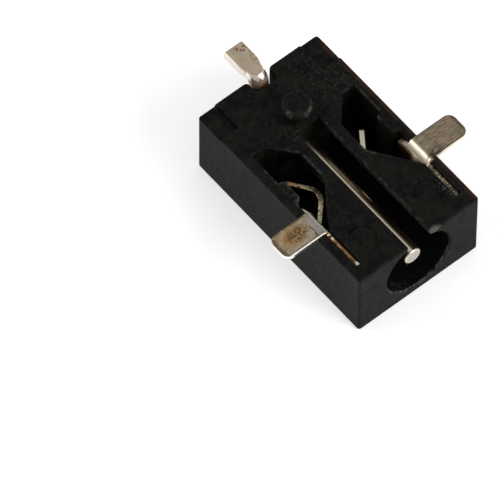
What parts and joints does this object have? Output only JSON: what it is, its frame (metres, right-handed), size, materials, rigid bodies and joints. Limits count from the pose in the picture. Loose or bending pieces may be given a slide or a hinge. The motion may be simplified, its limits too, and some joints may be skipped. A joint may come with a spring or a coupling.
{
  "type": "dc barrel jack",
  "caption": "Surface-mount dc barrel jack: a black moulded block with a slotted plug bore, a cranked centre pin with a flat solder tail, and stamped side contacts with solder tabs.",
  "frame": {"origin": "centre of the closed face, opposite the board side", "axes": "+Z to the board side, -Y to the plug opening, +Y to the centre pin's solder tail, +X to the right seen from the plug opening with the board side up"},
  "size_m": [0.0074, 0.0092, 0.0036],
  "materials": {
    "black_plastic": "matt, slightly rough moulded surface",
    "plated_pin": "dull tin plating over brass",
    "plated_strip": "dull tin plating over a stamped copper alloy strip"
  },
  "bodies": {
    "root": {"housing": "black_plastic", "centre_pin": "plated_pin", "left_contact": "plated_strip", "right_contact": "plated_strip"}
  },
  "joints": []
}
